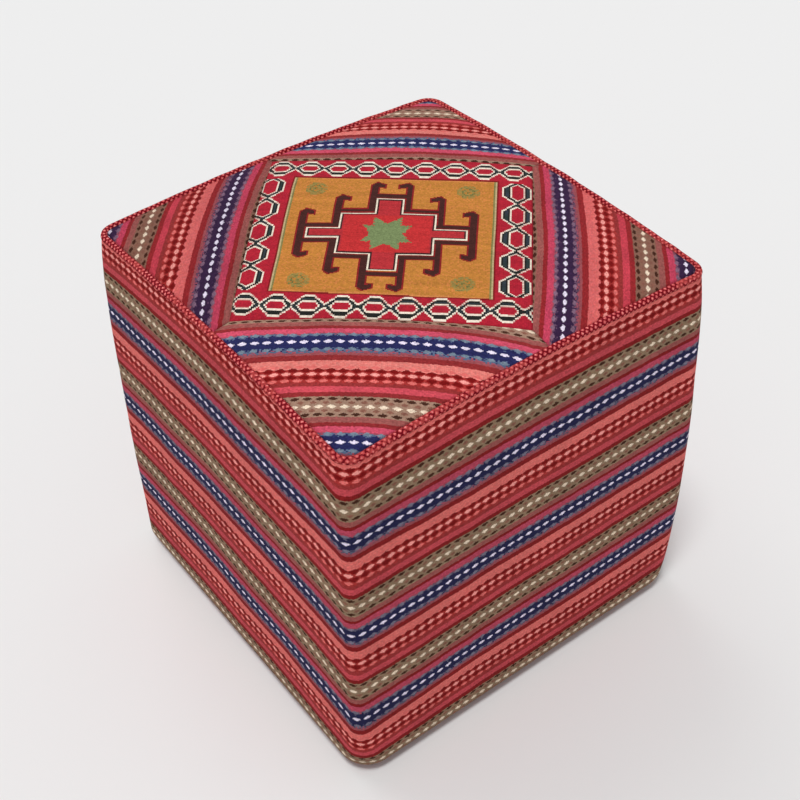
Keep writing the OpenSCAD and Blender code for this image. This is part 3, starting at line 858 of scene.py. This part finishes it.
# The stripes' place on it: how far round the body and how far down it.
legs = np.linalg.norm(np.diff(plans, axis=1), axis=2)
run = np.concatenate([np.zeros((len(levels), 1)), np.cumsum(legs, axis=1)], axis=1)
run = run - run[:, len(around_body) // 2, None] + to_front_edge
drop = np.cumsum([0] + [math.dist(levels[k][:2], levels[k + 1][:2])
                        for k in range(len(levels) - 1)])
drop = drop - drop[hidden_rows]
moved_up = highest_by - ends_low * ((drop - highest_at) / ends_over) ** 2
moved_up = moved_up - seam_low * np.exp(-np.maximum(drop, 0) / seam_low_over)
x, y = around_body[order].T
risen = np.clip(1 - (x / front_half) ** 2, 0, 1) * (y < -front_half) * front_rise
drawn = sum(by * hump(drop, at, over) for by, at, over in edge_draws)
drawn = hump(run, to_front_edge, edge_over) * drawn[:, None]
across = (drop + moved_up)[:, None] + risen + drawn + first_stripe
band = mesh_piece("woven_side_band", points, grid_faces(len(levels), len(order)),
                  band_weave, np.stack([run, across], 2).reshape(-1, 2))
thicken(band, cloth, 1)
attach(band, "root")
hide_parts("side_band")

# Top corner pieces
#
# Four pieces of the striped wool are sewn to the patterned panel's sides, so
# that their stripes run along it, and to each other at its corners. Their
# outer edges are sewn in above the piping.
panel_gap = 5.0
panel_shift = (-8.0, 3.0)
panel_turn = math.radians(3.6)
panel_reach = (top_edge - panel_gap - max(abs(s) for s in panel_shift)) / math.cos(panel_turn)
panel_half = panel_reach / math.sqrt(2)
dash_line = 26.6
stripe_scale = 1.045
side_bow = 4.0
front_slip = 7.0
front_draw = 2.2
front_draw_at = 52.0
front_draw_over = 17.0
front_seam_over = 16.0
blue_shift = 1.8
back_bow = 4.5
back_bow_over = 26.0
seam_dip = 1.0
seam_dip_over = 2.4
puff = 1.0
puff_over = 16.0
rim_out = 2.0
rim_over = 12.0
top_skin = 0.5


def panel_corner(q):
    """A corner of the panel on the plan, 0 at the right and then anticlockwise."""
    a = q * math.pi / 2 + panel_turn
    return np.array([panel_shift[0] + panel_reach * math.cos(a),
                     panel_shift[1] + panel_reach * math.sin(a)])


def bowed(flat):
    """The panel's back edge is drawn a little inwards in its middle."""
    c, s = math.cos(panel_turn + math.pi / 4), math.sin(panel_turn + math.pi / 4)
    x, y = flat[:, 0] - panel_shift[0], flat[:, 1] - panel_shift[1]
    u, v = (x * c + y * s) / panel_half, (y * c - x * s) - panel_half
    pull = back_bow * np.clip(1 - u ** 2, 0, 1) * hump(v, 0, back_bow_over)
    return flat + pull[:, None] * np.array([s, -c])


def line_gap(flat, a, b):
    """Distance of points from the stretch between a and b."""
    span = b - a
    t = np.clip(((flat - a) @ span) / (span @ span), 0, 1)
    return np.linalg.norm(flat - a - t[:, None] * span, axis=1)


seams = []
for q in range(4):
    corner_y = quarter_turned(panel_corner(q), -q)[1]
    seams.append((panel_corner(q), panel_corner((q + 1) % 4)))
    seams.append((panel_corner(q), quarter_turned(np.array([pipe_at, corner_y]), q)))


def sewn_height(flat):
    """The crowned top, puffed between its seams and drawn down along them."""
    gap = np.min([line_gap(flat, a, b) for a, b in seams], axis=0)
    rim = np.clip((top_edge + rim_out - np.abs(flat).max(1)) / rim_over, 0, 1)
    free = rim * puff * (1 - np.exp(-(gap / puff_over) ** 2))
    return (top_height(flat[:, 0], flat[:, 1]) - top_skin + free
            - seam_dip * hump(gap, 0, seam_dip_over))


def top_pull(points):
    """Slight unevenness of the padding under the top, less of it near the rim."""
    rim = np.clip((top_edge + 4 - np.abs(points[:, :2]).max(1)) / 25, 0.15, 1)
    pulled = soft_sway(points, 0.9, 70.0) + soft_sway(points, 0.3, 22.0)
    return pulled * rim[:, None] * np.array([0.5, 0.5, 1.0])


def eased(count):
    """Places from 0 to 1 that crowd towards both ends."""
    t = np.linspace(0, 1, count)
    return 0.72 * t + 0.28 * (3 * t ** 2 - 2 * t ** 3)


def rim_of_piece(q, width, start, end):
    """Outer edge of a corner piece, round the body's corner q."""
    r = max(least_radius, corner_radius - (half_width - width))
    t = np.radians(np.linspace(0, 90, 12))[1:]
    s = eased(32)[:, None]
    return quarter_turned(np.concatenate([
        np.array([width, start]) + s * np.array([0, width - r - start]),
        np.stack([width - r + r * np.cos(t), width - r + r * np.sin(t)], 1),
        np.array([width - r, width]) + s[1:] * np.array([end - width + r, 0])]), q)


shares = np.concatenate([[0, 0.012, 0.03, 0.055, 0.085], np.linspace(0.12, 1, 22)])
hidden_levels = [seam_point(pipe_radius / 2, pipe_radius * 0.95),
                 seam_point(pipe_radius + 1, lip_off), seam_point(seam_allowance, lip_off)]
hidden_depths = (2, 5, 13)
for q, corner in enumerate(corners):
    a, b = panel_corner(q), panel_corner(q + 1)
    start = quarter_turned(a, -q)[1]
    end = -quarter_turned(b, -q - 1)[1]
    rim = rim_of_piece(q, top_edge, start, end)
    inner = a + (b - a) * np.linspace(0, 1, len(rim))[:, None]
    plans = [inner + share * (rim - inner) for share in shares]
    nets = [np.column_stack([bowed(plan), sewn_height(plan)]) for plan in plans]
    for w, z in hidden_levels:
        plans.append(rim_of_piece(q, w, start, end))
        nets.append(raised(plans[-1], z, 1.0))
    points = np.concatenate(nets)
    points += top_pull(points)

    # The stripes' place on it, along the panel's side and away from it.
    edge = (b - a) / np.linalg.norm(b - a)
    plan = np.concatenate(plans) - a
    run = plan @ edge
    depth = plan @ np.array([edge[1], -edge[0]])
    depth[-len(hidden_depths) * len(rim):] += np.repeat(hidden_depths, len(rim))
    middle = run / panel_half - 1
    if corner in ("back_right", "front_left"):
        depth = depth - side_bow * (0.5 - middle ** 2)
    if corner == "front_right":
        depth = depth - front_slip * np.clip(middle, 0, 1) ** 3
        depth = depth - front_draw * hump(depth, front_draw_at, front_draw_over)
        depth = depth - front_draw * np.exp(-np.maximum(depth, 0) / front_seam_over)
    if corner in ("back_left", "front_right"):
        depth = depth - blue_shift
    flat = np.stack([run, (depth - dash_line) * stripe_scale], 1)
    piece = mesh_piece("woven_top_" + corner, points, grid_faces(len(nets), len(rim)),
                       weaves[corner], flat)
    thicken(piece, cloth, 1)
    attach(piece, "root")
    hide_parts("top_piece_" + corner)

# Patterned panel
#
# A square of patterned kilim with an ochre field, a red border of chained
# hexagons and a stepped red figure with hooks. It is sewn in a few degrees
# out of true, as it is in the photograph.
warp_mm = 1.5
weft_mm = 1.2
field_middle = -2.0
field_half = 94.0
field_top = 79.6
field_foot = -95.0
field_lean = 0.018
figure_middle = (-3.7, -8.7)
hook_roots = ((16.4, 76.8), (46.4, 55.2), (76.2, 32.6))
rosette_at = 69.5
far_chain = 99.4
near_chain = -111.2
chain_link = 27.3
side_chains = 113.4
side_chains_middle = -3.4
side_link = 34.9
chain_dark = dye(34, 34, 32)
chain_white = dye(242, 228, 210)


def box_edge(u, v, half_u, half_v, at_v=0.0):
    """Below zero inside a rectangle, by the depth inside it."""
    return (abs(u) - half_u) | (abs(v - at_v) - half_v)


# The place on the cloth, in whole steps of the weave. Its outer rows are a
# little curved.
paint, shader, kilim = finish("kilim")
place = paint.cloth_place()
wander = paint.blotches(14.0, 2.0, place) - 0.5
u = place.part(0) * 1000 + wander * 2
v = place.part(1) * 1000 + wander * 2
bend = ((abs(v) - 30) / 45 | 0) & 1
v = v - u * u * bend * 0.00045
column = (u / warp_mm).floor()
course = (v / weft_mm).floor()
u = column * warp_mm + warp_mm / 2
v = course * weft_mm + weft_mm / 2
fleck = paint.fleck(column, course)

# The ochre field in the red ground, with its sage side lines.
ground = paint.blotches(1.0, 2.0, place.stretched((300.0, 60.0, 1.0)))
tone = paint.blend(ground, dye(166, 28, 52), dye(186, 40, 52))
to_side = abs(u - field_middle)
field_edge = (to_side - field_half) | (v - field_top) | (field_foot - v - u * field_lean)
in_field = field_edge < 0
tone = tone.dyed(in_field, dye(197, 130, 58))
tone = tone.dyed(in_field * (fleck > 0.8) * 0.5, dye(208, 122, 74))
tone = tone.dyed((field_edge > 0) & (field_edge < 1.6) & (abs(u) < 98), dye(130, 26, 30))
tone = tone.dyed((abs(field_edge + 0.9) < 0.9) * 0.6, dye(218, 140, 84))
sage = (abs(to_side - 92.4) < 1.7) & in_field
tone = tone.dyed(sage, dye(132, 126, 76))
tone = tone.dyed(sage & (to_side > 92.1), dye(190, 172, 128))

# The chains of hexagons, along the near and far borders and then the sides.
# Each is given by its dark line's outer edge and inner edge, and where it runs.
upper = v > 0
row_off = upper * abs(v - far_chain) * 0.84 + (1 - upper) * abs(v - near_chain)
beside = abs((u - v * 0.015 + 17.8) % chain_link - chain_link / 2)
across = abs(abs(u - side_chains_middle) - side_chains)
slipped = (u > 0) * (v * -0.022 + 2.0)
beyond = abs((v + 6.3 + slipped + side_link / 2) % side_link - side_link / 2)
chains = [
    (((beside + row_off * 0.9 - chain_link / 2) * 0.743 - 0.5) | ((row_off - 11.0) * 0.56),
     ((beside + row_off * 0.63 - 9.8) * 0.846) | ((row_off - 6.8) * 0.6), row_off < 17),
    (((beyond + across - side_link / 2) * 0.707 - 0.5) | (across - 12.0),
     ((beyond + across * 0.8 - 13.8) * 0.78) | ((across - 7.1) * 0.9),
     (across < 15) & (abs(v + 8) < 86))]
float_over = ((course % 2) < 1) * 0.6 + 0.4
blue_green = paint.blend(paint.blotches(70.0, 1.0, place), dye(30, 56, 34), dye(62, 62, 84))
solid = (row_off > 6.6) & (beside < 5.2) | (across > 6.6) & (beyond < 8.5)
for outside, inside, where in chains:
    white = ((outside > 0) & (outside < 1.6)) | ((inside > -1.35) & (inside < 0))
    tone = tone.dyed(white & where & (solid | float_over), chain_white)
    tone = tone.dyed((outside < 0) & (inside > 0) & where, chain_dark)
    tone = tone.dyed((outside < -1) & (inside > 1) & where & solid, blue_green)

# The figure is the same on both sides of its middle lines, as are the small
# rosettes in the field's corners.
u = abs(u - figure_middle[0])
v = abs(v - figure_middle[1])
off_u = abs(u - rosette_at)
off_v = abs(v - rosette_at)
rosette = off_u | off_v | ((off_u + off_v) * 0.72)
tone = tone.dyed((rosette < 10) * (fleck > 0.25) * 0.7, dye(126, 130, 74))
tone = tone.dyed((rosette % 4.4 < 1.6) * (rosette < 9) * (fleck > 0.35) * 0.8, dye(100, 104, 56))
brown = box_edge(u, v, 20.8, 4.1, 58.6) & box_edge(u, v, 50.8, 3.8, 34.6) \
    & box_edge(u, v, 80.6, 3.7, 11.4)
for at_u, at_v in hook_roots:
    out = u - at_u
    down = v - at_v
    stem = abs(out) - 4.4
    barb = ((out * 0.2 - down - 3.4) * 0.98) | (abs(out + 3.5) - 7.9)
    ends = ((out + down - 4.6) * 0.71) | ((down - out * 0.45 - 7.0) * 0.91) | (-45 - down)
    brown = brown & ((stem & barb) | ends)
tone = tone.dyed(brown < 0, dye(140, 34, 36))
tone = tone.dyed(brown < -1.5, dye(70, 36, 33))
outline = box_edge(u, v, 42.7, 30.8) & box_edge(u, v, 13.3, 54.2) & box_edge(u, v, 71.5, 7.8)
tone = tone.dyed(outline < 0, dye(238, 228, 206))
tone = tone.dyed(outline < -1.65, dye(66, 34, 36))
tone = tone.dyed(outline < -3.2, dye(184, 50, 56))
tone = tone.dyed(box_edge(u, v, 38.8, 26.9) < 0, dye(196, 50, 52))
tall = (v - u * 0.75 - 14.6) | (u - 12.4)
wide = (u - v * 0.58 - 14.6) | (v - 11.8)
tone = tone.dyed((tall & wide) + fleck * 1.8 < 0.9, dye(122, 139, 93))

yarn = paint.blotches(420.0, 2.0, place)
dyed_run = paint.blotches(1.0, 3.0, place.stretched((6.0, 160.0, 1.0)))
shade = (dyed_run * 0.5 + 0.75) * (fleck * 0.3 + 0.85) * (yarn * 0.4 + 0.8)
rib = abs(place.part(0) * (1000 / warp_mm) % 1 - 0.5) + yarn * 0.8
feed(shader, Base_Color=tone.dimmed(shade), Roughness=0.94, Specular_IOR_Level=0.12,
     Normal=paint.relief(rib, 0.0006, 0.6))

steps = eased(81)
right_edge = panel_corner(0) + (panel_corner(1) - panel_corner(0)) * steps[:, None]
left_edge = panel_corner(3) + (panel_corner(2) - panel_corner(3)) * steps[:, None]
plan = (left_edge[:, None] + (right_edge - left_edge)[:, None]
        * steps[None, :, None]).reshape(-1, 2)
points = np.column_stack([bowed(plan), sewn_height(plan)])
points += top_pull(points)
place_on = 2 * panel_half * (np.stack(np.meshgrid(steps, steps), 2) - 0.5)
panel = mesh_piece("woven_panel", points, grid_faces(len(steps), len(steps)), kilim,
                   place_on.reshape(-1, 2))
thicken(panel, cloth, -1)
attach(panel, "root")
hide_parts("kilim_panel")

# Dust cover
#
# Thin black non-woven cloth closes the underside. It sags a little between
# its staples, and the glides' pins go through it.
dust_half = 180.5
dust_z = 4.0
dust_cloth = 0.8
sag = 1.26
flat_border = 42.0
sag_over = 60.0
glide_at = 166.728
pin_hole = 1.6
paint, shader, non_woven = finish("non_woven")
web = paint.blotches(500.0, 3.0)
feed(shader, Base_Color=paint.blend(web, dye(30, 30, 32), dye(52, 52, 56)), Roughness=0.9,
     Normal=paint.relief(web, 0.0004, 0.6))
steps = np.linspace(-dust_half, dust_half, 92)
x, y = np.meshgrid(steps, steps, indexing="ij")
edge_gap = dust_half - np.maximum(np.abs(x), np.abs(y))
under = np.clip((edge_gap - flat_border) / sag_over, 0, 1)
z = dust_z + dust_cloth / 2 - sag * under ** 2 * (3 - 2 * under)
points = np.stack([x.ravel(), y.ravel(), z.ravel()], 1)
pin_gap = np.hypot(np.abs(points[:, 0]) - glide_at, np.abs(points[:, 1]) - glide_at)
faces = [f for f in grid_faces(len(steps), len(steps)) if min(pin_gap[c] for c in f) > pin_hole]
dust = mesh_piece("underside_cloth", points, faces, non_woven)
thicken(dust, dust_cloth, 0)
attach(dust, "root")
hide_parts("dust_cover")

# Glides
#
# Four nail-on glides of dark brown plastic stand under the posts and keep
# the cloth clear of the floor.
paint, shader, brown_plastic = finish("brown_plastic")
haze = paint.blotches(300.0)
feed(shader, Base_Color=dye(62, 48, 40), Roughness=haze * 0.2 + 0.35)
for corner in corners:
    wear("glide_" + corner, brown_plastic)
